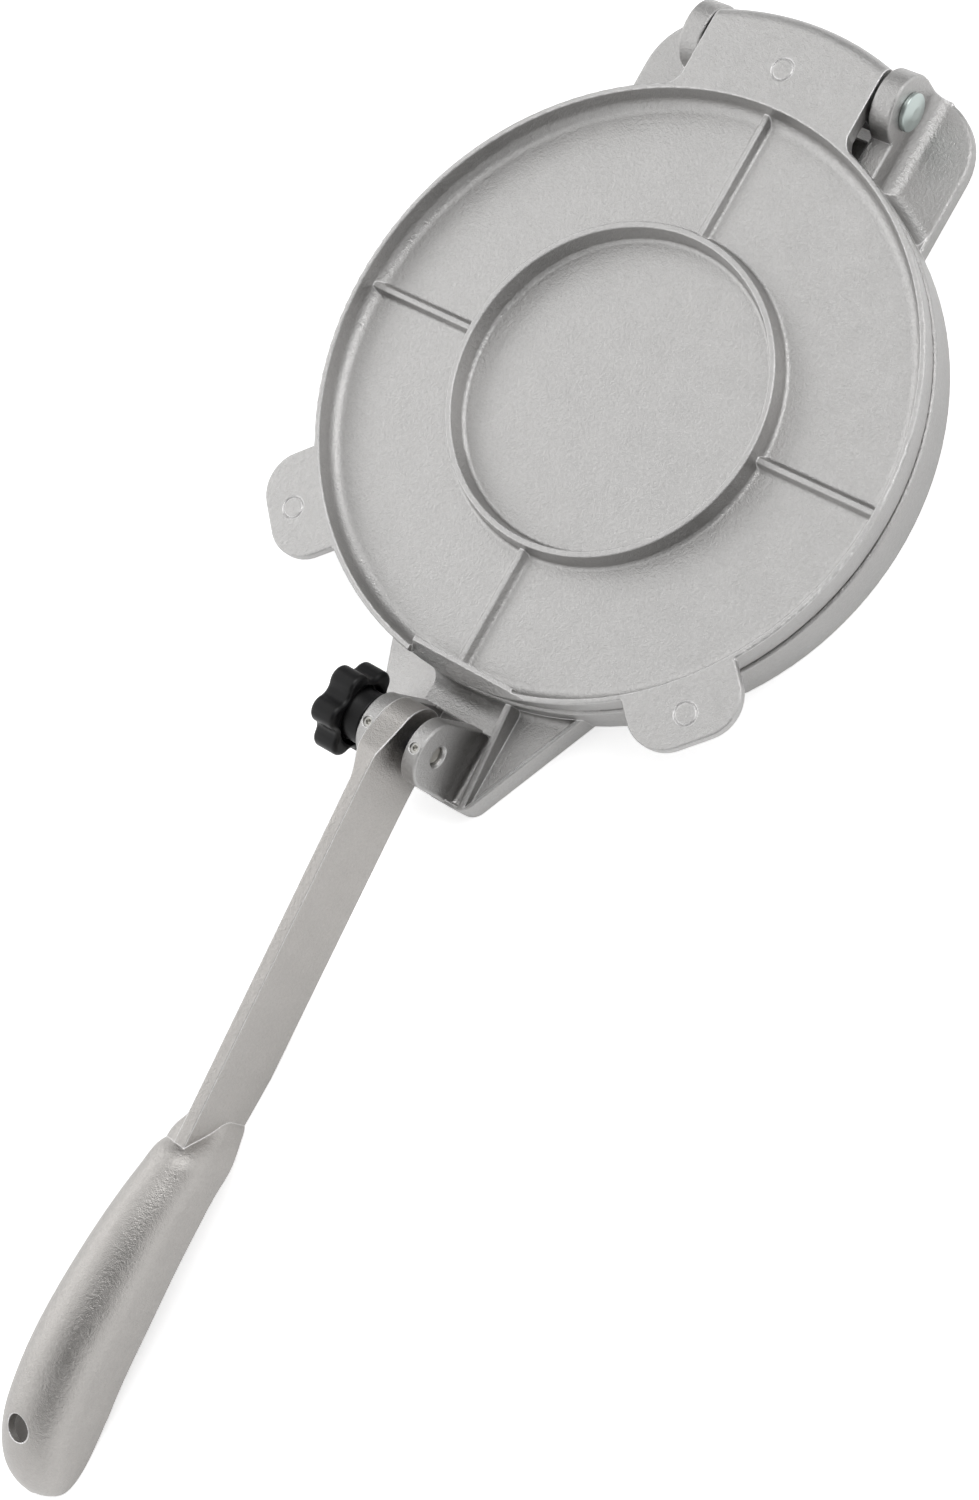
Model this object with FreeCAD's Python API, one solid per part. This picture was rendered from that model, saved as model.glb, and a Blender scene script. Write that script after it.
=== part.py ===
import FreeCAD, Part
import math
import os

from FreeCAD import Vector

# Tortilla press for 200 mm tortillas: a cast base, a cast lid on a rear hinge, and a long lever
# that pivots in front and is held by a star knob.
# Millimetres. X across the press, +Y towards the hinge, -Y towards the lever, +Z up from the table.
# Everything is built about the centre of the round plates and moved once, at the end, so that the
# origin is the middle of the whole press, on the table.

# Both plates
plateRadius = 101.5
baseHeight = 16.2
plateGap = 0.8
lidHeight = 11.0
floorThickness = 3.0
rimLand = 1.9
wallDraft = 1.4
outerDraft = 0.9
wallFillet = 4.0
edgeRound = 0.6
baseWall = 3.4
baseEdgeRound = 1.0

# Stiffening ring and ribs
ringRadius = 54.9
ringWidth = 1.9
ringDraft = 1.3
ringDrop = 1.0
ringFillet = 1.4
ribWidth = 1.6
ribDraft = 1.3
ribDrop = 5.4
ribFillet = 1.2
ribCount = 4
underRibDrop = 2.7

# Front pad of the lid, where the lever bears
padHalfWidth = 15.2
padInset = 4.9
padStrip = 1.4
padAngle = 42.0

# Finger tabs of the lid
tabAngle = 45.5
tabLength = 18.5
tabHalfWidth = 18.4
tabCorner = 13.0
tabThickness = 3.0

# Hinge tongue of the lid
tongueHalfWidth = 31.4
tongueCornerReach = 23.3
tongueRearReach = 28.2
tongueThickness = 5.2
tongueRound = 4.6
tongueRootRound = 3.2
rootRoundShare = 0.35
markDiameter = 7.6
markDepth = 0.35
markWidth = 0.5
tongueMarkReach = 10.4

# Hinge
hingeReach = 15.5
hingeHeight = 16.8
pinDiameter = 8.0
pinClearance = 0.06
knuckleRadius = 9.4
heelReach = 10.6
heelDrop = 8.0
earRadius = 11.4
earThickness = 7.6
earGap = 0.9
swingClearance = 0.5
stopRibReach = 4.1
stopRibHeight = 10.0

# Hinge pin, its washer and its retaining clip
pinHeadDiameter = 12.2
pinHeadThickness = 2.4
pinHeadDome = 0.9
pinShankLip = 1.7
washerThickness = 1.0
washerDiameter = 14.0
clipThickness = 0.9
clipDiameter = 13.0
clipGrooveDepth = 0.8
clipOpening = 5.2
clipPlay = 0.05
clipTeeth = 3

# Rear flange of the base
flangeHalfWidth = 61.0
flangeReach = 27.4
flangeThickness = 4.4
flangeCorner = 22.0
flangeRound = 1.2
flangeFillet = 5.2
flangeRootFillet = 4.6

# Front bracket of the base
bracketRootHalfWidth = 41.0
bracketNoseHalfWidth = 20.0
bracketRootInset = 9.5
bracketReach = 34.9
bracketHeight = 9.0
bracketCorner = 6.0
bracketLip = 1.4
slotRearReach = 9.7
slotFloor = 4.0
valleyFillet = 1.4
pocketDepth = 2.6
pocketFillet = 2.6
webFillet = 5.6
rampEdgeHeight = 1.4
gussetX = 17.2
gussetWidth = 2.2
gussetTopDrop = 1.2

# Lever pivot
pivotReach = 23.1
pivotHeight = 25.7
bossRadius = 11.1
cheekInner = 6.9
cheekOuter = 12.2
cheekFootReach = 9.1
bossRound = 0.7
studDiameter = 6.0
studClearance = 0.06
studFreeClearance = 0.3
studRecess = 1.6
threadMouth = 0.7
setScrewDiameter = 3.4
setScrewLength = 4.2
setScrewSink = 0.7
setScrewAngle = 5.0
socketAcross = 1.8
socketDepth = 1.8
socketSides = 6
screwGap = 0.05

# Lever
headLeft = 6.3
headRight = 2.5
headRun = 4.0
flareRun = 13.0
flareRadius = 14.0
armHalfWidth = 2.1
armTaper = 0.6
armSlope = 6.7
armHalfHeight = 14.9
armLift = 3.0
shoulderReach = 6.9
shoulderRound = 6.0
shoulderAngle = 55.0
bushRadius = 4.6
bushGap = 0.01
leverWasherRadius = 7.0
sleeveRadius = 5.0
spacerPlay = 0.05

# Grip of the lever, a shell that is open below
gripStart = 131.4
gripLength = 133.5
gripHalfWidth = 13.1
gripHeight = 36.0
gripWall = 3.7
gripTableGap = 0.25
armEndInset = 14.0
hangHoleDiameter = 8.7
hangHoleInset = 22.2

# Star knob
knobRadius = 15.3
knobWidth = 9.6
knobLobes = 6
knobPhase = -7.0
lobeRadius = 4.6
knobHubRadius = 8.8
knobHubLength = 5.1
knobHubSink = 1.2
knobEdgeRound = 1.3
knobPocketDepth = 3.6
knobPocketRadius = 10.3
knobWall = 2.4
knobWasherThickness = 1.2
knobWasherRadius = 7.2
knobPlay = 0.1

# Working allowances
overrun = 6.0
shortest = 0.001

# Grip stations as shares: along the grip's length; half width of the grip's; then the foot and the
# foot of the dome, of the grip's height.
gripStationShares = [
    (0.000, 0.153, 0.000, 0.226),
    (0.030, 0.315, 0.024, 0.316),
    (0.060, 0.473, 0.075, 0.408),
    (0.105, 0.709, 0.180, 0.533),
    (0.157, 0.777, 0.239, 0.570),
    (0.217, 0.811, 0.254, 0.609),
    (0.330, 0.879, 0.266, 0.649),
    (0.449, 0.950, 0.256, 0.646),
    (0.554, 0.960, 0.209, 0.649),
    (0.667, 0.960, 0.146, 0.610),
    (0.742, 0.980, 0.092, 0.533),
    (0.809, 0.960, 0.034, 0.460),
    (0.869, 0.955, 0.000, 0.335),
    (0.921, 0.925, 0.000, 0.185),
    (0.959, 0.790, 0.003, 0.080),
    (0.985, 0.440, 0.008, 0.042),
    (0.998, 0.120, 0.011, 0.026),
]
# The early start of the shell on its -X side: along the grip, half width and foot, as above.
gripFlareShares = [
    (0.000, 0.200, 0.250),
    (0.040, 0.500, 0.220),
    (0.080, 0.730, 0.200),
    (0.120, 0.740, 0.210),
    (0.157, 0.720, 0.250),
]
hollowStartShare = 0.14
hollowEndShare = 0.94

rimTop = baseHeight + plateGap + lidHeight
seam = baseHeight + plateGap
lidFloor = seam + floorThickness
rimInner = plateRadius - rimLand
padChord = plateRadius - padInset
tabReach = plateRadius + tabLength
tongueCornerY = plateRadius + tongueCornerReach
tongueRearY = plateRadius + tongueRearReach
tongueMarkY = plateRadius + tongueMarkReach
hingeY = plateRadius + hingeReach
stopRibY = plateRadius + stopRibReach
flangeRearY = plateRadius + flangeReach
bracketRootY = plateRadius - bracketRootInset
bracketNoseY = plateRadius + bracketReach
slotRearY = plateRadius + slotRearReach
pivotY = plateRadius + pivotReach
cheekFootY = plateRadius + cheekFootReach
earInner = tongueHalfWidth + earGap
earOuter = earInner + earThickness
headRadius = armHalfHeight - armLift * math.cos(math.radians(armSlope))
knobLeft = -cheekOuter - knobWasherThickness - 2 * knobPlay - knobHubLength - knobWidth
across = Vector(1, 0, 0)
upward = Vector(0, 0, 1)
still = Vector(0, 0, 0)


def roundedFace(corners):
    # A flat face whose corners, each a (point, radius) pair, are rounded by arcs.
    spans = []
    count = len(corners)
    for i, (point, radius) in enumerate(corners):
        before = corners[i - 1][0] - point
        after = corners[(i + 1) % count][0] - point
        before.normalize()
        after.normalize()
        if radius > 0:
            half = before.getAngle(after) / 2
            cut = radius / math.tan(half)
            bisector = before + after
            bisector.normalize()
            middle = point + bisector * (radius / math.sin(half) - radius)
            spans.append((point + before * cut, middle, point + after * cut))
        else:
            spans.append((point, None, point))
    edges = []
    for i, (start, middle, end) in enumerate(spans):
        if middle is not None:
            edges.append(Part.Arc(start, middle, end).toShape())
        onward = spans[(i + 1) % count][0]
        if end.distanceToPoint(onward) > shortest:
            edges.append(Part.makeLine(end, onward))
    return Part.Face(Part.Wire(edges))


def turned(profile):
    # A ring or disc from (radius, height, corner radius) triples, turned about the plates' axis.
    face = roundedFace([(Vector(r, 0, z), c) for r, z, c in profile])
    return face.revolve(still, upward, 360)


def prism(corners, start, end):
    # Corners in the X-Y plane as (x, y, radius), raised from one height to another.
    face = roundedFace([(Vector(x, y, start), c) for x, y, c in corners])
    return face.extrude(upward * (end - start))


def sideSlab(corners, left, right):
    # Corners in the Y-Z plane as (y, z, radius), carried across from one X to another.
    face = roundedFace([(Vector(left, y, z), c) for y, z, c in corners])
    return face.extrude(across * (right - left))


def rod(radius, left, right, y, z):
    return Part.makeCylinder(radius, right - left, Vector(left, y, z), across)


def slab(left, right, rear, fore, low, high):
    return Part.makeBox(right - left, fore - rear, high - low, Vector(left, rear, low))


def mirrored(shape):
    return shape.mirror(still, across)


def fused(shapes):
    first = shapes[0]
    whole = first.fuse(shapes[1:])
    return whole.removeSplitter()


def roundEdges(solid, radius, wanted):
    # Rounds the edges whose middle point passes the test.
    chosen = []
    for edge in solid.Edges:
        middle = edge.valueAt((edge.FirstParameter + edge.LastParameter) / 2)
        if wanted(middle):
            chosen.append(edge)
    if not chosen:
        return solid
    return solid.makeFillet(radius, chosen)


def circleY(radius, x):
    # Where a circle about the plates' axis passes a given X.
    return math.sqrt(radius ** 2 - x ** 2)


def rib(startRadius, endRadius, root, tip):
    # A rib along +Y with drafted sides and a small concave foot, between two radii.
    direction = 1 if tip > root else -1
    half = ribWidth / 2
    foot = half + ribDraft
    sunk = root - direction * floorThickness / 2
    flat = foot + ribFillet * 2
    corners = [
        (Vector(-half, startRadius, tip), half / 2),
        (Vector(-foot, startRadius, root), ribFillet),
        (Vector(-flat, startRadius, root), 0),
        (Vector(-flat, startRadius, sunk), 0),
        (Vector(flat, startRadius, sunk), 0),
        (Vector(flat, startRadius, root), 0),
        (Vector(foot, startRadius, root), ribFillet),
        (Vector(half, startRadius, tip), half / 2),
    ]
    return roundedFace(corners).extrude(Vector(0, endRadius - startRadius, 0))


def ribSet(startRadius, endRadius, root, tip):
    ribs = []
    for i in range(ribCount):
        one = rib(startRadius, endRadius, root, tip)
        one.rotate(still, upward, i * 360 / ribCount)
        ribs.append(one)
    return ribs


def lidDish():
    ringInner = ringRadius - ringWidth
    ringTop = rimTop - ringDrop
    profile = [
        (0, seam, 0),
        (plateRadius - outerDraft, seam, edgeRound),
        (plateRadius, rimTop, edgeRound),
        (rimInner, rimTop, edgeRound / 2),
        (rimInner - wallDraft, lidFloor, wallFillet),
        (ringRadius + ringDraft, lidFloor, ringFillet),
        (ringRadius, ringTop, edgeRound / 2),
        (ringInner, ringTop, edgeRound / 2),
        (ringInner - ringDraft, lidFloor, ringFillet),
        (0, lidFloor, 0),
    ]
    ribs = ribSet(ringRadius - ringWidth / 2, rimInner + rimLand / 4, lidFloor, rimTop - ribDrop)
    return [turned(profile)] + ribs


def lidTabs():
    inside = Part.makeCylinder(plateRadius - rimLand / 2, rimTop, still)
    rootY = circleY(rimInner, tabHalfWidth)
    tabs = []
    for side in (-1, 1):
        tab = prism(
            [
                (-tabHalfWidth, rootY, 0),
                (tabHalfWidth, rootY, 0),
                (tabHalfWidth, tabReach, tabCorner),
                (-tabHalfWidth, tabReach, tabCorner),
            ],
            rimTop - tabThickness,
            rimTop,
        )
        tab = roundEdges(tab, edgeRound, lambda m: m.z > rimTop - shortest and m.y > rootY + rimLand)
        tab.rotate(still, upward, 180 + side * tabAngle)
        tabs.append(tab.cut(inside))
    return tabs


def frontPad():
    # A chord block inside the rim, later bevelled where the lever bears. On the +X side it runs out
    # where the chord meets the rim.
    outer = Part.makeCylinder(plateRadius - outerDraft, lidHeight - floorThickness, Vector(0, 0, lidFloor))
    block = slab(-padHalfWidth, circleY(rimInner, padChord), -plateRadius, padStrip - padChord, lidFloor, rimTop)
    return block.common(outer)


def padBevel():
    run = plateRadius - padChord + overrun
    drop = run * math.tan(math.radians(padAngle))
    return sideSlab(
        [
            (-padChord, rimTop, 0),
            (-padChord - run, rimTop - drop, 0),
            (-padChord - run, rimTop + overrun, 0),
            (-padChord, rimTop + overrun, 0),
        ],
        -padHalfWidth,
        circleY(plateRadius, padChord) + rimLand,
    )


def tonguePlan(low):
    # Straight sides and a bowed rear edge.
    rootY = circleY(rimInner, tongueHalfWidth) - rimLand
    rearLeft = Vector(-tongueHalfWidth, tongueCornerY, low)
    rearRight = Vector(tongueHalfWidth, tongueCornerY, low)
    frontLeft = Vector(-tongueHalfWidth, rootY, low)
    frontRight = Vector(tongueHalfWidth, rootY, low)
    edges = [
        Part.makeLine(frontLeft, rearLeft),
        Part.Arc(rearLeft, Vector(0, tongueRearY, low), rearRight).toShape(),
        Part.makeLine(rearRight, frontRight),
        Part.makeLine(frontRight, frontLeft),
    ]
    return Part.Face(Part.Wire(edges))


def lidTongue():
    # The plan outline crossed with the side outline of plate, knuckle and heel.
    low = hingeHeight - knuckleRadius
    block = tonguePlan(low).extrude(upward * (rimTop - low))
    block = roundEdges(block, tongueRound, lambda m: m.z > rimTop - shortest and m.y > tongueCornerY + shortest)
    rootY = circleY(rimInner, tongueHalfWidth) - 2 * rimLand
    heelY = hingeY + heelReach
    side = sideSlab(
        [
            (rootY, rimTop + overrun, 0),
            (tongueRearY + overrun, rimTop + overrun, 0),
            (tongueRearY + overrun, hingeHeight + knuckleRadius / 2, 0),
            (heelY, hingeHeight, 0),
            (heelY, hingeHeight - heelDrop, edgeRound),
            (hingeY, low, 0),
            (hingeY - knuckleRadius, hingeHeight - knuckleRadius / 3, knuckleRadius / 2),
            (hingeY - knuckleRadius, rimTop - tongueThickness, edgeRound),
            (rootY, rimTop - tongueThickness, 0),
        ],
        -tongueHalfWidth - overrun,
        tongueHalfWidth + overrun,
    )
    inside = Part.makeCylinder(plateRadius - rimLand / 2, rimTop, still)
    return block.common(side).cut(inside)


def rootFillets():
    # Small fillets where the tongue's sides leave the round rim.
    pieces = []
    meetY = circleY(plateRadius, tongueHalfWidth)
    low = rimTop - tongueThickness
    for side in (-1, 1):
        x = tongueHalfWidth * side
        reach = x + side * tongueRootRound
        corner = Vector(x, meetY - rimLand / 2, low)
        up = Vector(x, meetY + tongueRootRound, low)
        out = Vector(reach, circleY(plateRadius, reach) - rimLand / 4, low)
        middle = Vector(x + (reach - x) * rootRoundShare, meetY + tongueRootRound * rootRoundShare / 2, low)
        wire = Part.Wire([Part.makeLine(corner, up), Part.Arc(up, middle, out).toShape(), Part.makeLine(out, corner)])
        pieces.append(Part.Face(wire).extrude(upward * tongueThickness))
    return pieces


def ejectorMark(x, y):
    # A shallow ring left by a round ejector.
    place = Vector(x, y, rimTop - markDepth)
    outer = Part.makeCylinder(markDiameter / 2, markDepth * 2, place)
    inner = Part.makeCylinder(markDiameter / 2 - markWidth, markDepth * 2, place)
    return outer.cut(inner)


def topPlate():
    body = fused(lidDish() + lidTabs() + [frontPad(), lidTongue()] + rootFillets())
    marks = [ejectorMark(0, tongueMarkY)]
    markRadius = (tabReach + plateRadius) / 2
    turn = math.radians(tabAngle)
    for side in (-1, 1):
        marks.append(ejectorMark(side * markRadius * math.sin(turn), -markRadius * math.cos(turn)))
    bore = rod(pinDiameter / 2 + pinClearance, -plateRadius, plateRadius, hingeY, hingeHeight)
    return body.cut([padBevel(), bore] + marks)


def baseDish():
    inner = plateRadius - baseWall
    under = baseHeight - floorThickness
    profile = [
        (0, baseHeight, 0),
        (plateRadius, baseHeight, baseEdgeRound),
        (plateRadius - outerDraft / 3, 0, edgeRound),
        (inner, 0, edgeRound / 2),
        (inner - wallDraft, under, wallFillet),
        (ringRadius + ringDraft, under, ringFillet),
        (ringRadius, 0, edgeRound / 2),
        (ringRadius - ringWidth, 0, edgeRound / 2),
        (ringRadius - ringWidth - ringDraft, under, ringFillet),
        (0, under, 0),
    ]
    ribs = ribSet(ringRadius - ringWidth / 2, inner + baseWall / 4, under, underRibDrop)
    return fused([turned(profile)] + ribs)


def dishCore():
    # What the outer pieces lose so that they only touch the dish's wall.
    return Part.makeCylinder(plateRadius - baseWall / 2, rimTop, still)


def rearFlange():
    rootY = circleY(plateRadius, flangeHalfWidth)
    plate = prism(
        [
            (-flangeHalfWidth, rootY - baseWall / 2, 0),
            (flangeHalfWidth, rootY - baseWall / 2, 0),
            (flangeHalfWidth, flangeRearY, flangeCorner),
            (-flangeHalfWidth, flangeRearY, flangeCorner),
        ],
        0,
        flangeThickness,
    )
    return roundEdges(plate, flangeRound, lambda m: m.z > flangeThickness - shortest and m.y > rootY)


def earSide():
    # One ear on the +X side: a round eye on a wall that runs back to the dish.
    wallY = circleY(plateRadius, earOuter) - baseWall / 2
    eye = rod(earRadius, earInner, earOuter, hingeY, hingeHeight)
    eye = roundEdges(eye, bossRound, lambda m: True)
    foot = slab(earInner, earOuter, hingeY - earRadius, hingeY + earRadius, flangeThickness / 2, hingeHeight)
    wall = slab(earInner, earOuter, wallY, hingeY, flangeThickness / 2, baseHeight)
    wall = roundEdges(wall, bossRound, lambda m: m.z > baseHeight - shortest and m.x > earOuter - shortest)
    fillet = roundedFace(
        [
            (Vector(earOuter - shortest, wallY, flangeThickness + flangeFillet), 0),
            (Vector(earOuter, wallY, flangeThickness), flangeFillet * (1 - shortest)),
            (Vector(earOuter + flangeFillet, wallY, flangeThickness), 0),
            (Vector(earOuter + flangeFillet, wallY, flangeThickness / 2), 0),
            (Vector(earOuter - shortest, wallY, flangeThickness / 2), 0),
        ]
    ).extrude(Vector(0, hingeY + earRadius - wallY, 0))
    return [eye, foot, wall, fillet]


def hingeCuts():
    # Room between the ears for the tongue to swing, open below at the rear, and the pin's bore.
    reach = math.hypot(tongueRearY - hingeY - tongueRound, rimTop - hingeHeight - tongueRound) + tongueRound
    swing = rod(reach + swingClearance, -earInner, earInner, hingeY, hingeHeight)
    yard = slab(-earInner, earInner, hingeY, flangeRearY + overrun, -overrun, rimTop)
    gap = slab(-earInner, earInner, stopRibY, hingeY, flangeThickness, rimTop)
    bore = rod(pinDiameter / 2 + screwGap, -plateRadius, plateRadius, hingeY, hingeHeight)
    stop = slab(-earInner, earInner, 0, stopRibY, -overrun, stopRibHeight)
    return [swing.cut(stop), yard, gap, bore]


def stopRib():
    # A bar across the dish's wall, where the heel of the opened lid comes to rest.
    reach = earInner + earThickness / 2
    return slab(-reach, reach, rimInner - baseWall / 2, stopRibY, 0, stopRibHeight)


def bracketEdge(y):
    # Half width of the front bracket at a distance in front of the plates' centre.
    share = (y - bracketRootY) / (bracketNoseY - bracketRootY)
    return bracketRootHalfWidth + (bracketNoseHalfWidth - bracketRootHalfWidth) * share


def frontBracket():
    # A web with a blunt nose, whose sides run out from the dish.
    plate = prism(
        [
            (-bracketRootHalfWidth, -bracketRootY, 0),
            (-bracketNoseHalfWidth, -bracketNoseY, bracketCorner),
            (bracketNoseHalfWidth, -bracketNoseY, bracketCorner),
            (bracketRootHalfWidth, -bracketRootY, 0),
        ],
        0,
        bracketHeight,
    )
    return roundEdges(plate, edgeRound, lambda m: m.z > bracketHeight - shortest and m.y < -bracketRootY - shortest)


def bracketPockets():
    # On the +X side a deep valley between cheek and gusset, and a shallow pocket outside the gusset.
    outer = gussetX + gussetWidth
    slope = math.atan2(bracketRootHalfWidth - bracketNoseHalfWidth, bracketNoseY - bracketRootY)
    inset = bracketLip / math.cos(slope)
    tipY = bracketNoseY - (outer + inset - bracketNoseHalfWidth) / math.tan(slope)
    pocket = prism(
        [
            (outer, -bracketRootY, 0),
            (outer, -tipY, 0),
            (bracketEdge(bracketRootY) - inset, -bracketRootY, 0),
        ],
        bracketHeight - pocketDepth,
        bracketHeight + overrun,
    )
    valley = slab(cheekOuter, gussetX, bracketLip - bracketNoseY, -slotRearY, slotFloor, bracketHeight + overrun)
    valley = roundEdges(valley, valleyFillet, lambda m: m.z < slotFloor + shortest)
    return [pocket, valley]


def bracketRamp():
    # On the -X side the web slopes down from the cheek's foot to a low edge.
    low = bracketRootHalfWidth
    corners = [
        (Vector(-cheekOuter, 0, bracketHeight), 0),
        (Vector(-low, 0, rampEdgeHeight), 0),
        (Vector(-low - overrun, 0, rampEdgeHeight), 0),
        (Vector(-low - overrun, 0, bracketHeight + overrun), 0),
        (Vector(-cheekOuter, 0, bracketHeight + overrun), 0),
    ]
    ramp = roundedFace(corners).extrude(Vector(0, bracketNoseY + 2 * overrun, 0))
    ramp.translate(Vector(0, -bracketNoseY - overrun, 0))
    return ramp


def wallFoot(floor, radius, left, right):
    # A hollow fillet from a floor of the bracket up to the dish's wall, between two X.
    low = floor - pocketDepth
    inner = plateRadius - baseWall
    outer = plateRadius + radius
    face = roundedFace(
        [
            (Vector(inner, 0, low), 0),
            (Vector(inner, 0, floor + radius), 0),
            (Vector(plateRadius, 0, floor + radius), 0),
            (Vector(plateRadius, 0, floor), radius * (1 - shortest)),
            (Vector(outer, 0, floor), 0),
            (Vector(outer, 0, low), 0),
        ]
    )
    ring = face.revolve(still, upward, 360)
    return ring.common(slab(left, right, -plateRadius - radius, -bracketRootY / 2, low, floor + radius))


def flangeRoot():
    # The same hollow fillet where the rear flange meets the dish's wall, outside the ear.
    right = flangeHalfWidth - flangeRound
    root = wallFoot(flangeThickness, flangeRootFillet, -right, -earOuter + edgeRound)
    root.rotate(still, upward, 180)
    return root.common(rearFlangeRoom())


def rearFlangeRoom():
    # The room above and within the outline of the rear flange.
    rootY = circleY(plateRadius, flangeHalfWidth)
    corners = [
        (-flangeHalfWidth, rootY - baseWall / 2, 0),
        (flangeHalfWidth, rootY - baseWall / 2, 0),
        (flangeHalfWidth, flangeRearY, flangeCorner),
        (-flangeHalfWidth, flangeRearY, flangeCorner),
    ]
    return prism(corners, flangeThickness / 2, baseHeight)


def leverSlot():
    return slab(-cheekInner, cheekInner, -bracketNoseY - overrun, -slotRearY, slotFloor, bracketHeight + overrun)


def cheek():
    # Side outline: a round boss, a plumb front edge, a foot that widens towards the dish.
    noseY = -pivotY - bossRadius
    plate = sideSlab(
        [
            (noseY, 0, 0),
            (noseY, pivotHeight, 0),
            (-pivotY + bossRadius, pivotHeight, 0),
            (-cheekFootY, bracketHeight, 0),
            (-cheekFootY, 0, 0),
        ],
        cheekInner,
        cheekOuter,
    )
    boss = rod(bossRadius, cheekInner, cheekOuter, -pivotY, pivotHeight)
    whole = fused([plate, boss])
    outside = cheekOuter - shortest
    return roundEdges(whole, bossRound, lambda m: m.x > outside and m.z > bracketHeight)


def gusset():
    # A sloping rib from the dish wall to the nose of the bracket, just outside the cheek.
    noseY = bracketLip - bracketNoseY
    wallY = -circleY(plateRadius, gussetX)
    plate = sideSlab(
        [
            (wallY + baseWall / 2, bracketHeight / 2, 0),
            (wallY + baseWall / 2, baseHeight - gussetTopDrop, 0),
            (wallY, baseHeight - gussetTopDrop, 0),
            (noseY, bracketHeight, 0),
            (noseY, bracketHeight / 2, 0),
        ],
        gussetX,
        gussetX + gussetWidth,
    )
    return roundEdges(plate, edgeRound, lambda m: m.z > bracketHeight and m.y < wallY - shortest)


def pivotBores():
    # The stud runs free through the knob's cheek and is threaded into the other one.
    radius = studDiameter / 2
    free = rod(radius + studFreeClearance, -cheekOuter - overrun, 0, -pivotY, pivotHeight)
    threaded = rod(radius + studClearance, 0, cheekOuter + overrun, -pivotY, pivotHeight)
    mouth = Part.makeCone(
        radius + studClearance,
        radius + studClearance + threadMouth * 2,
        threadMouth * 2,
        Vector(cheekOuter - threadMouth, -pivotY, pivotHeight),
        across,
    )
    return [free, threaded, mouth]


def setScrewAxis():
    turn = math.radians(setScrewAngle)
    return Vector(0, -math.sin(turn), math.cos(turn))


def setScrewPlace(side):
    middle = side * (cheekInner + cheekOuter) / 2
    return Vector(middle, -pivotY, pivotHeight) + setScrewAxis() * (bossRadius - setScrewSink)


def setScrewHoles():
    holes = []
    for side in (-1, 1):
        start = setScrewPlace(side) + setScrewAxis() * overrun
        holes.append(Part.makeCylinder(setScrewDiameter / 2 + screwGap, overrun + bossRadius, start, -setScrewAxis()))
    return holes


def basePlate():
    ear = earSide()
    sides = [cheek(), mirrored(cheek()), gusset()]
    ear.append(flangeRoot())
    rear = fused([rearFlange(), stopRib()] + ear + [mirrored(piece) for piece in ear])
    nose = frontBracket().cut([leverSlot(), bracketRamp()] + bracketPockets())
    pocketFloor = bracketHeight - pocketDepth
    pocketRight = bracketRootHalfWidth - 2 * bracketLip
    sides.append(wallFoot(pocketFloor, pocketFillet, gussetX + gussetWidth / 2, pocketRight))
    plateau = wallFoot(bracketHeight, webFillet, -cheekOuter, gussetX + gussetWidth / 2)
    nose = fused([nose, plateau] + sides)
    whole = fused([baseDish(), rear.cut(dishCore()), nose.cut(dishCore())])
    return whole.cut(hingeCuts() + pivotBores() + setScrewHoles())


def hexSocket(place, axis):
    # A six-sided recess that opens along the axis.
    radius = socketAcross / 2 / math.cos(math.pi / socketSides)
    other = axis.cross(across)
    points = []
    for i in range(socketSides):
        turn = i * 2 * math.pi / socketSides
        points.append(place + across * (radius * math.cos(turn)) + other * (radius * math.sin(turn)))
    face = Part.Face(Part.makePolygon(points + points[:1]))
    return face.extrude(axis * -socketDepth)


def setScrews():
    screws = []
    axis = setScrewAxis()
    for side in (-1, 1):
        top = setScrewPlace(side)
        body = Part.makeCylinder(setScrewDiameter / 2, setScrewLength, top, -axis)
        screws.append(body.cut(hexSocket(top + axis * shortest, axis)))
    return Part.makeCompound(screws)


def hingePin():
    # A headed pin with a groove for the clip, turned about its own axis.
    radius = pinDiameter / 2
    groove = radius - clipGrooveDepth
    grooveStart = earOuter + washerThickness + clipPlay
    grooveEnd = grooveStart + clipThickness + clipPlay
    headRadius = pinHeadDiameter / 2
    headTop = earOuter + pinHeadThickness
    face = roundedFace(
        [
            (Vector(-grooveEnd - pinShankLip, 0, 0), 0),
            (Vector(-grooveEnd - pinShankLip, 0, radius), edgeRound),
            (Vector(-grooveEnd, 0, radius), 0),
            (Vector(-grooveEnd, 0, groove), 0),
            (Vector(-grooveStart, 0, groove), 0),
            (Vector(-grooveStart, 0, radius), 0),
            (Vector(earOuter, 0, radius), 0),
            (Vector(earOuter, 0, headRadius), edgeRound / 2),
            (Vector(headTop - pinHeadDome, 0, headRadius), pinHeadDome / 2),
            (Vector(headTop, 0, headRadius / 3), headRadius / 2),
            (Vector(headTop, 0, 0), 0),
        ]
    )
    pin = face.revolve(still, across, 360)
    pin.translate(Vector(0, hingeY, hingeHeight))
    return pin


def pinWasher():
    disc = rod(washerDiameter / 2, -earOuter - washerThickness, -earOuter, hingeY, hingeHeight)
    hole = rod(pinDiameter / 2 + pinClearance, -earOuter - overrun, -earOuter + overrun, hingeY, hingeHeight)
    return disc.cut(hole)


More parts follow.
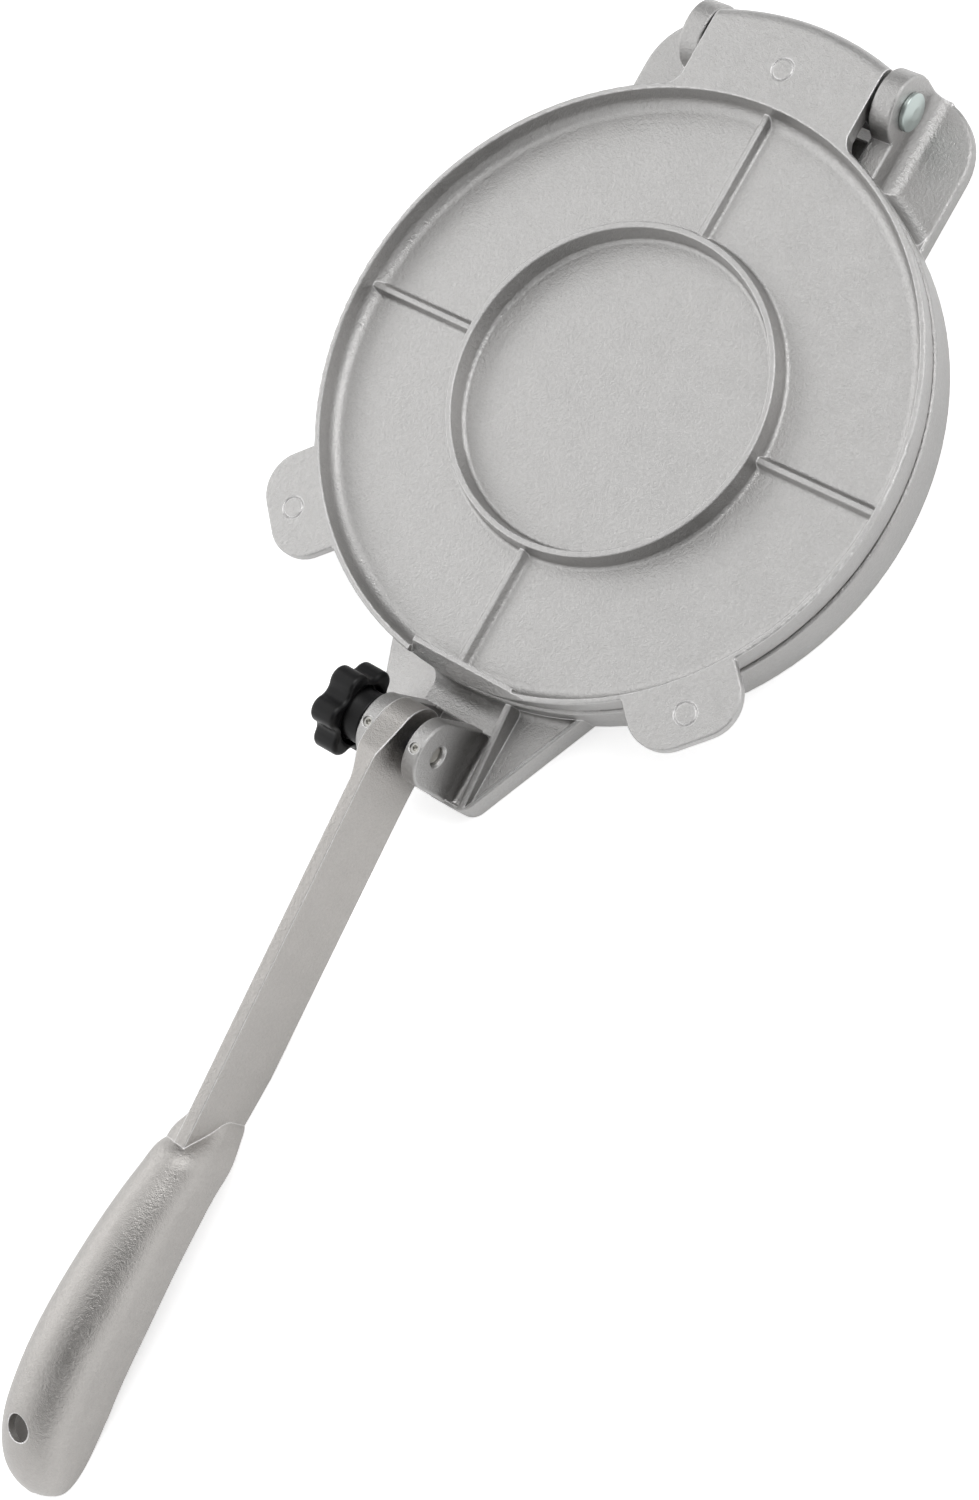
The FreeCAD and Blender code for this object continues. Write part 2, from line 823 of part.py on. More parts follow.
def pinClip():
    # An E-shaped ring: open below, with teeth that grip the groove.
    right = -earOuter - washerThickness - clipPlay * 3 / 2
    left = right - clipThickness + clipPlay
    ring = rod(clipDiameter / 2, left, right, hingeY, hingeHeight)
    hollow = rod(pinDiameter / 2 + clipGrooveDepth, left - overrun, right + overrun, hingeY, hingeHeight)
    eye = rod(pinDiameter / 2 - clipGrooveDepth + screwGap, left - overrun, right + overrun, hingeY, hingeHeight)
    half = clipOpening / 2
    mouth = slab(left, right, hingeY - half, hingeY + half, hingeHeight - clipDiameter, hingeHeight)
    teeth = []
    for i in range(clipTeeth):
        tooth = slab(left, right, hingeY - half / 2, hingeY + half / 2, hingeHeight,
                     hingeHeight + clipDiameter / 2 - clipGrooveDepth)
        tooth.rotate(Vector(0, hingeY, hingeHeight), across, i * 360 / clipTeeth)
        teeth.append(tooth)
    body = fused([ring.cut(hollow)] + teeth)
    return body.cut([eye, mouth.cut(teeth[1:])])


def pivotStud():
    stud = rod(studDiameter / 2, knobLeft + knobWall, cheekOuter - studRecess, -pivotY, pivotHeight)
    return roundEdges(stud, edgeRound, lambda m: True)


def knobOutline(x):
    # Lobes and hollows as arcs that meet smoothly.
    lobeCentre = knobRadius - lobeRadius
    step = math.pi / knobLobes
    hollowCentre = knobRadius * math.cos(step) + lobeRadius * math.sin(step)
    gap = math.sqrt(lobeCentre ** 2 + hollowCentre ** 2 - 2 * lobeCentre * hollowCentre * math.cos(step))
    meetShare = lobeRadius / gap
    hollowRadius = gap - lobeRadius

    def at(radius, turn):
        turn = turn + math.radians(knobPhase)
        return Vector(x, -pivotY + radius * math.cos(turn), pivotHeight + radius * math.sin(turn))

    edges = []
    for i in range(knobLobes):
        turn = 2 * i * step
        lobe = at(lobeCentre, turn)
        before = lobe + (at(hollowCentre, turn - step) - lobe) * meetShare
        after = lobe + (at(hollowCentre, turn + step) - lobe) * meetShare
        onward = at(lobeCentre, turn + 2 * step)
        nextStart = onward + (at(hollowCentre, turn + step) - onward) * meetShare
        edges.append(Part.Arc(before, at(knobRadius, turn), after).toShape())
        edges.append(Part.Arc(after, at(hollowCentre - hollowRadius, turn + step), nextStart).toShape())
    return Part.Face(Part.Wire(edges))


def starKnob():
    # A star with a pocket on its inner side and a hub that meets the washer.
    starInner = knobLeft + knobWidth
    hubRight = starInner + knobHubLength
    star = knobOutline(knobLeft).extrude(across * knobWidth)
    star = roundEdges(star, knobEdgeRound, lambda m: True)
    pocket = rod(knobPocketRadius, starInner - knobPocketDepth, starInner + overrun, -pivotY, pivotHeight)
    hub = rod(knobHubRadius, starInner - knobPocketDepth - knobHubSink, hubRight, -pivotY, pivotHeight)
    hub = roundEdges(hub, edgeRound, lambda m: m.x > hubRight - shortest)
    body = fused([star.cut(pocket), hub])
    return body.cut(rod(studDiameter / 2, knobLeft + knobWall, overrun, -pivotY, pivotHeight))


def knobWasher():
    right = -cheekOuter - knobPlay
    left = right - knobWasherThickness
    disc = rod(knobWasherRadius, left, right, -pivotY, pivotHeight)
    return disc.cut(rod(studDiameter / 2 + studClearance, left - overrun, right + overrun, -pivotY, pivotHeight))


def leverBush():
    outer = rod(bushRadius - bushGap, -headLeft, headRight, -pivotY, pivotHeight)
    inner = rod(studDiameter / 2 + studClearance, -cheekOuter, cheekOuter, -pivotY, pivotHeight)
    return outer.cut(inner)


def spacer(radius, left, right):
    # A ring on the stud between the lever's head and a cheek.
    ring = rod(radius, left + spacerPlay, right - spacerPlay, -pivotY, pivotHeight)
    return ring.cut(rod(studDiameter / 2 + studClearance, -cheekOuter, cheekOuter, -pivotY, pivotHeight))


def armPoint(along, above):
    # A place on the arm's own line, which passes above the pivot: along it, and square above it.
    turn = math.radians(armSlope)
    y = -pivotY - along * math.cos(turn) - above * math.sin(turn)
    z = pivotHeight + armLift - along * math.sin(turn) + above * math.cos(turn)
    return y, z


def armPlan():
    # Seen from above: a wide head that narrows, by a hollow curve each side, to the flat arm.
    headEnd = -pivotY - headRun
    flareEnd = headEnd - flareRun
    rear = -pivotY + headRadius + overrun
    front = -pivotY - gripStart - armEndInset
    return prism(
        [
            (-headLeft, rear, 0),
            (-headLeft, headEnd, flareRadius),
            (-armHalfWidth, flareEnd, flareRadius),
            (-armHalfWidth, front, 0),
            (armHalfWidth, front, 0),
            (armHalfWidth, flareEnd, flareRadius),
            (headRight, headEnd, flareRadius),
            (headRight, rear, 0),
        ],
        -overrun,
        pivotHeight + armHalfHeight + overrun,
    )


def arm():
    # The plan outline crossed with the side outline, which ends level with the table under the grip.
    turn = math.radians(armSlope)
    footAlong = (pivotHeight + armLift - armHalfHeight * math.cos(turn) - gripTableGap) / math.sin(turn)
    endAlong = (gripStart + armEndInset) / math.cos(turn)
    topY, topZ = armPoint(endAlong, armHalfHeight - armTaper)
    shoulderTurn = math.radians(shoulderAngle)
    side = [
        (-pivotY, pivotHeight, 0),
        (-pivotY + headRadius * math.cos(shoulderTurn), pivotHeight + headRadius * math.sin(shoulderTurn), 0),
        armPoint(shoulderReach, armHalfHeight) + (shoulderRound,),
        (topY, topZ, 0),
        (topY, gripTableGap + armEndInset / 2, 0),
        (-pivotY - gripStart, gripTableGap, 0),
        armPoint(footAlong, -armHalfHeight) + (0,),
        armPoint(armLift * math.sin(turn), -armHalfHeight) + (0,),
    ]
    head = rod(headRadius, -cheekOuter, cheekOuter, -pivotY, pivotHeight)
    return fused([sideSlab(side, -cheekOuter, cheekOuter), head]).common(armPlan())


def gripSection(station, inset):
    # Flat foot, upright sides and a round top, less an inset on all sides.
    lengthShare, halfShare, footShare, domeShare = station
    y = -pivotY - gripStart - gripLength * lengthShare
    half = gripHalfWidth * halfShare - inset
    foot = gripTableGap + gripHeight * footShare - (overrun if inset > 0 else 0)
    dome = gripTableGap + gripHeight * domeShare
    left = Vector(-half, y, dome)
    right = Vector(half, y, dome)
    leftFoot = Vector(-half, y, foot)
    rightFoot = Vector(half, y, foot)
    return Part.Wire(
        [
            Part.makeLine(rightFoot, right),
            Part.Arc(right, Vector(0, y, dome + half), left).toShape(),
            Part.makeLine(left, leftFoot),
            Part.makeLine(leftFoot, rightFoot),
        ]
    )


def armTop(y):
    # Height of the arm's top edge at a given Y.
    startY, startZ = armPoint(shoulderReach, armHalfHeight)
    endY, endZ = armPoint((gripStart + armEndInset) / math.cos(math.radians(armSlope)), armHalfHeight - armTaper)
    return startZ + (endZ - startZ) * (y - startY) / (endY - startY)


def gripFlare():
    # On the -X side the shell starts as a quarter round that leaves the arm's top edge.
    sections = []
    for lengthShare, halfShare, footShare in gripFlareShares:
        y = -pivotY - gripStart - gripLength * lengthShare
        half = gripHalfWidth * halfShare
        top = armTop(y)
        foot = gripTableGap + gripHeight * footShare
        turn = math.pi / 4
        middle = Vector(-half * math.cos(turn), y, top - half + half * math.sin(turn))
        sections.append(Part.Wire(
            [
                Part.makeLine(Vector(0, y, foot), Vector(-half, y, foot)),
                Part.makeLine(Vector(-half, y, foot), Vector(-half, y, top - half)),
                Part.Arc(Vector(-half, y, top - half), middle, Vector(0, y, top)).toShape(),
                Part.makeLine(Vector(0, y, top), Vector(0, y, foot)),
            ]
        ))
    return Part.makeLoft(sections, True, False)


def grip():
    shell = Part.makeLoft([gripSection(station, 0) for station in gripStationShares], True, False)
    inner = [station for station in gripStationShares if hollowStartShare < station[0] < hollowEndShare]
    hollow = Part.makeLoft([gripSection(station, gripWall) for station in inner], True, False)
    return shell, hollow


def lever():
    shell, hollow = grip()
    body = fused([arm(), shell, gripFlare()])
    bore = rod(bushRadius, -cheekOuter, cheekOuter, -pivotY, pivotHeight)
    holeY = -pivotY - gripStart - gripLength + hangHoleInset
    hole = Part.makeCylinder(hangHoleDiameter / 2, gripHeight, Vector(0, holeY, gripTableGap))
    return body.cut([hollow, bore, hole])


def pressPieces():
    return {
        "base_plate": basePlate(),
        "top_plate": topPlate(),
        "lever": lever(),
        "hinge_pin": hingePin(),
        "hinge_pin_washer": pinWasher(),
        "hinge_pin_clip": pinClip(),
        "pivot_set_screws": setScrews(),
        "pivot_stud": pivotStud(),
        "star_knob": starKnob(),
        "knob_washer": knobWasher(),
        "lever_bush": leverBush(),
        "lever_washer": spacer(leverWasherRadius, -cheekInner, -headLeft),
        "lever_sleeve": spacer(sleeveRadius, headRight, cheekInner),
    }


os.makedirs("parts", exist_ok=True)
pieces = pressPieces()
boxes = [shape.optimalBoundingBox(False, False) for shape in pieces.values()]
centreShift = -(min(box.YMin for box in boxes) + max(box.YMax for box in boxes)) / 2
for node, shape in pieces.items():
    shape.translate(Vector(0, centreShift, 0))
    shape.exportStep("parts/" + node + ".step")
    box = shape.optimalBoundingBox(False, False)
    print(node, "solids", len(shape.Solids), "valid", shape.isValid(), "volume", round(shape.Volume),
          "box", [round(v, 1) for v in (box.XMin, box.XMax, box.YMin, box.YMax, box.ZMin, box.ZMax)])
print("centre shift", round(centreShift, 3))
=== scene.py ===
import math

import bpy
import numpy as np
from mathutils import Matrix, Vector


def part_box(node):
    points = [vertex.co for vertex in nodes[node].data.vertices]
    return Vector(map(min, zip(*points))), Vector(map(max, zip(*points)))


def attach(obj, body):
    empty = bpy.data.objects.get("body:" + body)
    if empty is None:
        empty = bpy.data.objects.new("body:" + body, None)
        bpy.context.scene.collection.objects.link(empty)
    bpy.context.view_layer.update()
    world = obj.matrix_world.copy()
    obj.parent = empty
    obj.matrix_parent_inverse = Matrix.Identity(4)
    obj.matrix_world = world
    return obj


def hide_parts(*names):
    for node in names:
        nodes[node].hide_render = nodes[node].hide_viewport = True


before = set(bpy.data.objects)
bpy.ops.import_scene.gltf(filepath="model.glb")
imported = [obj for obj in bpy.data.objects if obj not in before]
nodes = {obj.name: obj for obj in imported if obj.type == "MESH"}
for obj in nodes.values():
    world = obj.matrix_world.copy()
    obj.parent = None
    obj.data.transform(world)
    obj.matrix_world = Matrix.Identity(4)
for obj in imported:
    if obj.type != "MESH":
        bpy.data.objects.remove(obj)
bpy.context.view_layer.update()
mm = 0.001
print("frame loaded")


def linear(hexColour):
    # sRGB to linear light: divide by 12.92 near black, else ((c + 0.055) / 1.055) to the power 2.4.
    parts = [int(hexColour[i:i + 2], 16) / 255 for i in (0, 2, 4)]
    return [c / 12.92 if c <= 0.04045 else ((c + 0.055) / 1.055) ** 2.4 for c in parts] + [1.0]


def addNode(tree, kind, inputs=None, **settings):
    # inputs maps a socket name or number to a value or to an output socket to link from.
    node = tree.nodes.new(kind)
    for key, value in settings.items():
        setattr(node, key, value)
    for key, value in (inputs or {}).items():
        if isinstance(value, bpy.types.NodeSocket):
            tree.links.new(value, node.inputs[key])
        else:
            node.inputs[key].default_value = value
    return node


def emptyMaterial(name):
    material = bpy.data.materials.new(name)
    material.use_nodes = True
    tree = material.node_tree
    tree.nodes.clear()
    return material, tree


def finishMaterial(tree, shader):
    addNode(tree, "ShaderNodeOutputMaterial", {"Surface": shader.outputs[0]})


def objectPlace(tree):
    return addNode(tree, "ShaderNodeTexCoord").outputs["Object"]


def noise(tree, place, sizeMm, detail=2.0, rough=0.5):
    # Soft lumps about sizeMm across.
    return addNode(tree, "ShaderNodeTexNoise", {
        "Vector": place, "Scale": 1 / (sizeMm * mm), "Detail": detail, "Roughness": rough,
    }).outputs["Fac"]


def spread(tree, value, low, high, toLow, toHigh):
    # Carries the stretch from low to high over to the one from toLow to toHigh.
    return addNode(tree, "ShaderNodeMapRange", {
        "Value": value, "From Min": low, "From Max": high, "To Min": toLow, "To Max": toHigh,
    }).outputs["Result"]


castSettings = {
    "body": "bebdbc",
    # Edge colour: burnished metal, whitened further as a painted highlight.
    "edge": "fbfafa",
    "edgeRadius": 0.8,  # mm that the burnishing and its painted highlight reach from an edge
    "edgeTurn": (0.985, 0.86),  # cosines of the turn where the burnishing, with its painted highlight, starts and is full
    "edgeSamples": 6,
    "grainSize": 1.1,  # mm; the real grain is finer and is drawn this coarse to show
    "grainNoise": (3.0, 0.6),  # detail and roughness of the noise
    "fineSizeShare": 0.36,
    "fineNoise": (2.0, 0.6),
    "fineMix": 0.45,
    "grainDepth": 0.7,
    "grainStrength": 0.55,
    "specks": 0.12,
    "skinSize": 9.0,  # mm, the slow mottling of the cast skin
    "skinNoise": (3.0, 0.55),
    "skinTone": (0.965, 1.03),
    "noiseReach": (0.3, 0.7),
    "roughness": 0.33,
    "roughnessReach": (-0.03, 0.05),
    "edgeRoughness": 0.28,
}


def castAluminium(name, settings):
    # Die cast aluminium, tumbled: a satin grey with a fine grain, and edges burnished and whitened further
    # by a painted highlight, nearly white.
    material, tree = emptyMaterial(name)
    place = objectPlace(tree)
    low, high = settings["noiseReach"]
    specks = settings["specks"]
    smoother, rougher = [settings["roughness"] + change for change in settings["roughnessReach"]]
    geometry = addNode(tree, "ShaderNodeNewGeometry")
    rounded = addNode(tree, "ShaderNodeBevel", {"Radius": settings["edgeRadius"] * mm},
                      samples=settings["edgeSamples"])
    # Edge share: how far the rounded normal has turned from the face's own normal. It whitens the edges as
    # burnishing and as a painted highlight.
    turn = addNode(tree, "ShaderNodeVectorMath", {0: rounded.outputs[0], 1: geometry.outputs["Normal"]},
                   operation="DOT_PRODUCT")
    burnishAndHighlightShare = spread(tree, turn.outputs["Value"], *settings["edgeTurn"], 0.0, 1.0)
    grain = noise(tree, place, settings["grainSize"], *settings["grainNoise"])
    fine = noise(tree, place, settings["grainSize"] * settings["fineSizeShare"], *settings["fineNoise"])
    skin = noise(tree, place, settings["skinSize"], *settings["skinNoise"])
    both = addNode(tree, "ShaderNodeMix", {0: settings["fineMix"], 2: grain, 3: fine},
                   data_type="FLOAT").outputs[0]
    grainTone = spread(tree, both, low, high, 1 - specks, 1 + specks / 2)
    skinTone = spread(tree, skin, low, high, *settings["skinTone"])
    tone = addNode(tree, "ShaderNodeMath", {0: grainTone, 1: skinTone}, operation="MULTIPLY").outputs[0]
    body = addNode(tree, "ShaderNodeVectorMath", {0: linear(settings["body"])[:3], "Scale": tone},
                   operation="SCALE").outputs[0]
    # Edges mixed towards near white: burnishing plus a painted highlight.
    colour = addNode(tree, "ShaderNodeMix", {0: burnishAndHighlightShare, 6: body, 7: linear(settings["edge"])},
                     data_type="RGBA").outputs[2]
    skinRoughness = spread(tree, skin, low, high, smoother, rougher)
    roughness = addNode(tree, "ShaderNodeMix", {
        0: burnishAndHighlightShare, 2: skinRoughness, 3: settings["edgeRoughness"],
    }, data_type="FLOAT").outputs[0]
    bump = addNode(tree, "ShaderNodeBump", {
        "Strength": settings["grainStrength"], "Distance": settings["grainDepth"] * mm, "Height": both,
        "Normal": rounded.outputs[0],
    }).outputs[0]
    finishMaterial(tree, addNode(tree, "ShaderNodeBsdfPrincipled", {
        "Base Color": colour, "Metallic": 1.0, "Roughness": roughness, "Normal": bump,
    }))
    return material


# Grain sizes and depths in mm.
metalGrain = {"size": 0.3, "depth": 0.01, "strength": 0.4}
plasticGrain = {"size": 0.5, "depth": 0.012, "strength": 0.5}


def grainBump(tree, settings):
    height = noise(tree, objectPlace(tree), settings["size"])
    return addNode(tree, "ShaderNodeBump", {
        "Strength": settings["strength"], "Distance": settings["depth"] * mm, "Height": height,
    }).outputs[0]


def plainMetal(name, hexColour, roughness):
    # Turned, rolled or stamped metal, mostly plated: an even sheen that a very fine grain softens.
    material, tree = emptyMaterial(name)
    finishMaterial(tree, addNode(tree, "ShaderNodeBsdfPrincipled", {
        "Base Color": linear(hexColour), "Metallic": 1.0, "Roughness": roughness,
        "Normal": grainBump(tree, metalGrain),
    }))
    return material


def mouldedPlastic(name, hexColour, roughness, specular=0.5):
    # Moulded plastic: an even colour with the faint texture of a spark eroded mould.
    material, tree = emptyMaterial(name)
    finishMaterial(tree, addNode(tree, "ShaderNodeBsdfPrincipled", {
        "Base Color": linear(hexColour), "Roughness": roughness, "Specular IOR Level": specular,
        "Normal": grainBump(tree, plasticGrain),
    }))
    return material


finishes = {
    "top_plate": castAluminium("die cast aluminium, lid", castSettings),
    "base_plate": castAluminium("die cast aluminium, base", dict(castSettings, body="b8b7b6")),
    "lever": castAluminium("die cast aluminium, lever", dict(castSettings, body="bab7b4")),
    "hinge_pin": plainMetal("zinc plated steel pin, turned", "c3cdca", 0.34),
    "hinge_pin_washer": plainMetal("zinc plated steel washer, stamped", "bcc0bf", 0.36),
    "hinge_pin_clip": plainMetal("oiled spring steel, stamped", "55565a", 0.38),
    "pivot_set_screws": plainMetal("zinc plated steel screw, cold formed", "c9c8c4", 0.3),
    "pivot_stud": plainMetal("zinc plated steel stud, rolled", "b4b2ac", 0.34),
    "knob_washer": plainMetal("zinc plated steel washer, stamped", "b9bab8", 0.36),
    "lever_bush": plainMetal("brass, turned", "c9a765", 0.3),
    "lever_washer": mouldedPlastic("nylon washer, moulded", "dcdad2", 0.5),
    "lever_sleeve": mouldedPlastic("black nylon sleeve, moulded", "26262a", 0.5),
}
for node, material in finishes.items():
    slots = nodes[node].data.materials
    if not slots:
        slots.append(material)
    for i in range(len(slots)):
        slots[i] = material
print("finishes set")


def meshFromRings(name, rings):
    # Quads between neighbouring rings of equal count; each ring runs round once.
    count = len(rings[0])
    points = np.concatenate(rings)
    step = np.arange(count)
    after = (step + 1) % count
    band = np.stack([step, after, after + count, step + count], 1)
    starts = np.arange(len(rings) - 1) * count
    quads = (starts[:, None, None] + band).reshape(-1, 4)
    mesh = bpy.data.meshes.new(name)
    mesh.vertices.add(len(points))
    mesh.vertices.foreach_set("co", points.astype(np.float32).ravel())
    mesh.loops.add(quads.size)
    mesh.loops.foreach_set("vertex_index", quads.astype(np.int32).ravel())
    mesh.polygons.add(len(quads))
    mesh.polygons.foreach_set("loop_start", np.arange(0, quads.size, 4, dtype=np.int32))
    mesh.polygons.foreach_set("use_smooth", np.ones(len(quads), bool))
    mesh.update(calc_edges=True)
    mesh.validate()
    thing = bpy.data.objects.new(name, mesh)
    bpy.context.scene.collection.objects.link(thing)
    return thing


knob = {
    "colour": "131314",
    "roughness": 0.34,
    "specular": 0.3,
    "lobes": 6,
    "phase": -7.0,  # degrees
    "radius": 15.3,  # mm, as all the lengths below
    "lobeRadius": 4.6,
    "edgeRound": 1.5,
    "width": 9.6,
    "sideLean": 0.05,
    "pocketRadius": 10.3,
    "pocketDepth": 3.6,
    "pocketLip": (0.1, 0.35),
    "cornerRound": 0.5,
    "hubRadius": 8.8,
    "hubRound": (0.18, 0.6),
    "boreRadius": 3.05,
    "dishDip": 0.5,
    "dishShares": (0.02, 0.25, 0.45, 0.58),
    "dishRimShare": 0.62,
    "dishRimDipShare": 0.4,
    "blendShares": (0.35, 0.7, 1.0),
    "sideShares": (0.33, 0.66, 1.0),
    "lipBlendShare": 0.6,
    "arcPoints": 20,
    "roundRings": 9,
}


def unitCircle(angle):
    return np.stack([np.cos(angle), np.sin(angle)], -1)


def arcs(middles, centres, radius, half, count):
    # One arc round each centre: centre plus radius times (cos, sin) of the angles from middle - half to
    # middle + half. Also gives each point's direction from its centre.
    away = unitCircle(middles[:, None] + np.linspace(-half, half, count, endpoint=False))
    return centres[:, None] + radius * away, away


def starOutline(settings):
    # Lobes are arcs about points on a circle; hollows are arcs about points further out that meet them
    # smoothly, on the line from a lobe's centre to the hollow's. Also gives the outward normals.
    lobes, radius, lobeRadius, count = [settings[k] for k in ("lobes", "radius", "lobeRadius", "arcPoints")]
    step = math.pi / lobes
    lobeCentre = radius - lobeRadius
    hollowCentre = radius * math.cos(step) + lobeRadius * math.sin(step)
    across = hollowCentre * math.sin(step)
    along = hollowCentre * math.cos(step) - lobeCentre
    swing = math.atan2(across, along)
    turns = 2 * step * np.arange(lobes) + math.radians(settings["phase"])
    lobePoints, lobeAway = arcs(turns, lobeCentre * unitCircle(turns), lobeRadius, swing, count)
    hollowPoints, hollowAway = arcs(turns + step + math.pi, hollowCentre * unitCircle(turns + step),
                                    math.hypot(across, along) - lobeRadius, step - swing, count)
    points = np.concatenate([lobePoints, hollowPoints], 1)
    normals = np.concatenate([lobeAway, -hollowAway], 1)
    return points.reshape(-1, 2), normals.reshape(-1, 2)


def buildKnob(settings):
    # Rings across the knob's axis, from the dished cap over the star's side, into the pocket behind it,
    # up the hub and into its bore. A ring is the star moved in along its normals, a circle, or a blend.
    low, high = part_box("star_knob")
    studLow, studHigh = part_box("pivot_stud")
    axisY = (studLow.y + studHigh.y) / 2
    axisZ = (studLow.z + studHigh.z) / 2
    outline, normals = starOutline(settings)
    circle = unitCircle(np.arctan2(outline[:, 1], outline[:, 0]))
    radius, width, edge, lean, dip, pocket, corner, hub, bore = [settings[k] for k in (
        "radius", "width", "edgeRound", "sideLean", "dishDip",
        "pocketRadius", "cornerRound", "hubRadius", "boreRadius")]
    left = low.x / mm
    right = left + width
    hubRight = high.x / mm
    floor = right - settings["pocketDepth"]
    rings = []

    def ring(x, flat):
        place = np.column_stack([np.full(len(flat), x), flat]) * mm
        rings.append(place + (0, axisY, axisZ))

    for share in settings["dishShares"]:
        ring(left + dip * (1 - share), circle * radius * share)
    inner = circle * radius * settings["dishRimShare"]
    outer = outline - normals * edge
    for share in settings["blendShares"]:
        ring(left + dip * settings["dishRimDipShare"] * (1 - share), inner + (outer - inner) * share)
    quarter = np.linspace(0, math.pi / 2, settings["roundRings"])[1:]
    for t in quarter:
        ring(left + edge * (1 - math.cos(t)), outline - normals * edge * (1 - math.sin(t)))
    for share in settings["sideShares"]:
        ring(left + edge + (width - 2 * edge) * share, outline - normals * lean * share)
    for t in quarter:
        ring(right - edge * (1 - math.sin(t)), outline - normals * (lean + edge * (1 - math.cos(t))))
    rim = outline - normals * (edge + lean)
    ring(right, rim + (circle * pocket - rim) * settings["lipBlendShare"])
    lip, lipDepth = settings["pocketLip"]
    hubCorner, hubRound = settings["hubRound"]
    for x, ringRadius in (
        (right - lip, pocket + lip),
        (right - lipDepth, pocket),
        (floor + corner, pocket),
        (floor, pocket - corner),
        (floor, hub + corner),
        (floor + corner, hub),
        (hubRight - hubRound, hub),
        (hubRight - hubCorner, hub - hubCorner),
        (hubRight, hub - hubRound),
        (hubRight, bore),
        (floor, bore),
    ):
        ring(x, circle * ringRadius)
    thing = meshFromRings("star_knob_surface", rings)
    thing.data.materials.append(mouldedPlastic("black phenolic plastic, moulded", settings["colour"],
                                               settings["roughness"], settings["specular"]))
    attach(thing, "knob_screw")
    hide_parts("star_knob")


buildKnob(knob)
print("knob built")

light = {
    "tent": 0.92,
    # Dim patches of the tent: towards, cosines of the inner and outer edge, and the share of light left.
    "patches": [
        ((0.57, -0.36, 0.74), 0.955, 0.76, 0.08),
        ((-0.3, 0.93, 0.2), 0.95, 0.72, 0.3),
    ],
    # Lamps: name, place in metres, width and height in metres, power in watts.
    "lamps": [
        ("left softbox", (-1.6, 0.0, 0.95), (3.4, 0.7), 8.5),
        ("rear softbox", (0.56, 0.95, 1.22), (0.9, 0.9), 6.4),
    ],
    "lampTarget": (0, 0.05, 0),
    "floor": "ffffff",
    "floorReach": 6.0,
    "floorGlow": 0.5,  # added where the camera sees the paper, so that it shows white
    "floorShine": 0.2,  # added where a metal face mirrors the paper
    "white": (1, 1, 1, 1),
}


def makeWorld(settings):
    # A white tent with dim patches, which the camera sees as plain white.
    world = bpy.data.worlds.new("studio")
    bpy.context.scene.world = world
    world.use_nodes = True
    tree = world.node_tree
    tree.nodes.clear()
    white = settings["white"]
    path = addNode(tree, "ShaderNodeLightPath")
    sky = addNode(tree, "ShaderNodeTexCoord").outputs["Generated"]
    strength = settings["tent"]
    for towards, inner, outer, left in settings["patches"]:
        nearness = addNode(tree, "ShaderNodeVectorMath", {0: sky, 1: Vector(towards).normalized()},
                           operation="DOT_PRODUCT").outputs["Value"]
        share = addNode(tree, "ShaderNodeMapRange", {
            "Value": nearness, "From Min": outer, "From Max": inner, "To Min": 1.0, "To Max": left,
        }, interpolation_type="SMOOTHSTEP").outputs["Result"]
        strength = addNode(tree, "ShaderNodeMath", {0: strength, 1: share}, operation="MULTIPLY").outputs[0]
    tent = addNode(tree, "ShaderNodeBackground", {"Color": white, "Strength": strength}).outputs[0]
    backdrop = addNode(tree, "ShaderNodeBackground", {"Color": white, "Strength": 1.0}).outputs[0]
    mix = addNode(tree, "ShaderNodeMixShader", {0: path.outputs["Is Camera Ray"], 1: tent, 2: backdrop})
    addNode(tree, "ShaderNodeOutputWorld", {"Surface": mix.outputs[0]})


def areaLight(name, place, size, power, target):
    lamp = bpy.data.lights.new(name, "AREA")
    lamp.shape = "RECTANGLE"
    lamp.size, lamp.size_y = size
    lamp.energy = power
    thing = bpy.data.objects.new(name, lamp)
    thing.location = place
    thing.rotation_euler = (Vector(target) - Vector(place)).to_track_quat("-Z", "Y").to_euler()
    bpy.context.scene.collection.objects.link(thing)


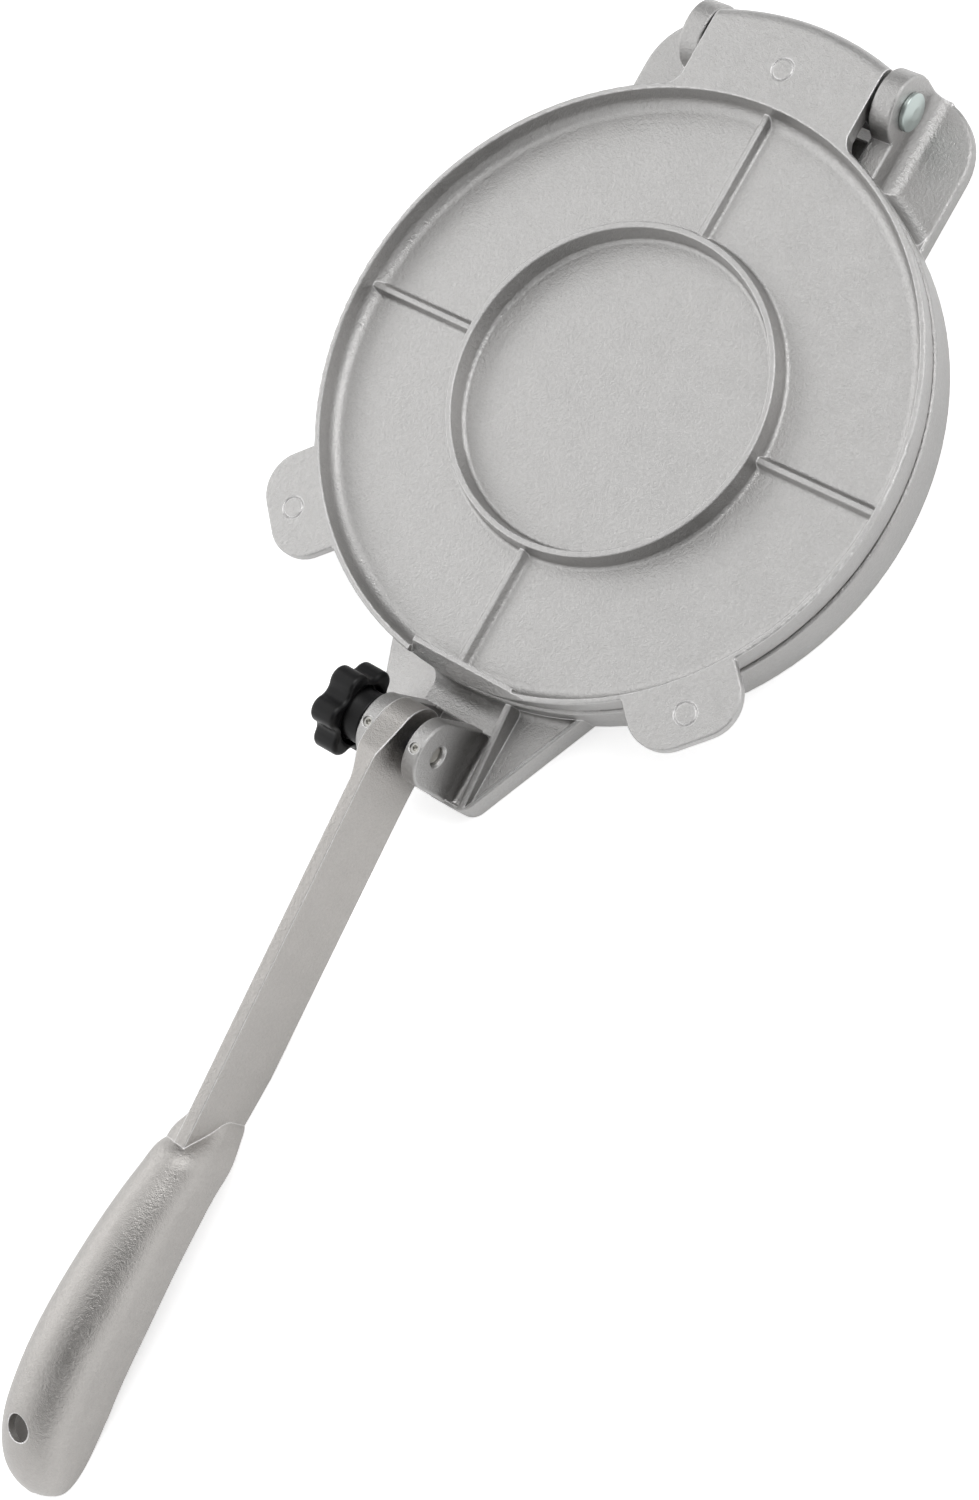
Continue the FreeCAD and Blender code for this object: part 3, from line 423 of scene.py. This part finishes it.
def makeFloor(settings):
    # Matt white paper that glows a little for the camera and in mirror reflections.
    mesh = bpy.data.meshes.new("floor")
    reach = settings["floorReach"]
    corners = [(-reach, -reach, 0), (reach, -reach, 0), (reach, reach, 0), (-reach, reach, 0)]
    mesh.from_pydata(corners, [], [(0, 1, 2, 3)])
    floor = bpy.data.objects.new("floor", mesh)
    bpy.context.scene.collection.objects.link(floor)
    material, tree = emptyMaterial("matt white paper")
    paper = addNode(tree, "ShaderNodeBsdfDiffuse", {"Color": linear(settings["floor"])}).outputs[0]
    path = addNode(tree, "ShaderNodeLightPath").outputs
    mirrored = addNode(tree, "ShaderNodeMath", {0: path["Is Glossy Ray"], 1: settings["floorShine"]},
                       operation="MULTIPLY").outputs[0]
    glow = addNode(tree, "ShaderNodeMath", {
        0: path["Is Camera Ray"], 1: settings["floorGlow"], 2: mirrored,
    }, operation="MULTIPLY_ADD").outputs[0]
    shine = addNode(tree, "ShaderNodeEmission", {"Color": settings["white"], "Strength": glow}).outputs[0]
    finishMaterial(tree, addNode(tree, "ShaderNodeAddShader", {0: paper, 1: shine}))
    mesh.materials.append(material)


makeWorld(light)
for lamp in light["lamps"]:
    areaLight(*lamp, light["lampTarget"])
makeFloor(light)

camera = {
    "azimuth": 89.3,  # degrees, as the two below
    "elevation": 61.0,
    "roll": -59.97,
    "distance": 0.79824,
    "target": (0.02782, 0.014819, 0.028),
    "focalPixels": 2641.98,
    "pictureHeight": 1500,
    "sensorHeight": 36.0,
    "clip": (0.05, 50.0),
}


def makeCamera(settings):
    # The camera looks back along its azimuth and elevation, and is then rolled about that line.
    azimuth, elevation, roll = [math.radians(settings[k]) for k in ("azimuth", "elevation", "roll")]
    outward = math.cos(elevation)
    back = Vector((math.sin(azimuth) * outward, -math.cos(azimuth) * outward, math.sin(elevation)))
    level = Vector((0, 0, 1)).cross(back).normalized()
    rise = back.cross(level)
    right = level * math.cos(roll) + rise * math.sin(roll)
    up = rise * math.cos(roll) - level * math.sin(roll)
    data = bpy.data.cameras.new("camera")
    data.sensor_fit = "VERTICAL"
    data.sensor_height = settings["sensorHeight"]
    data.lens = settings["focalPixels"] / settings["pictureHeight"] * settings["sensorHeight"]
    data.clip_start, data.clip_end = settings["clip"]
    thing = bpy.data.objects.new("camera", data)
    turn = Matrix((right, up, back)).transposed().to_4x4()
    thing.matrix_world = Matrix.Translation(Vector(settings["target"]) + back * settings["distance"]) @ turn
    bpy.context.scene.collection.objects.link(thing)
    bpy.context.scene.camera = thing


makeCamera(camera)
bpy.context.scene.view_settings.view_transform = "Standard"
print("camera and light set")
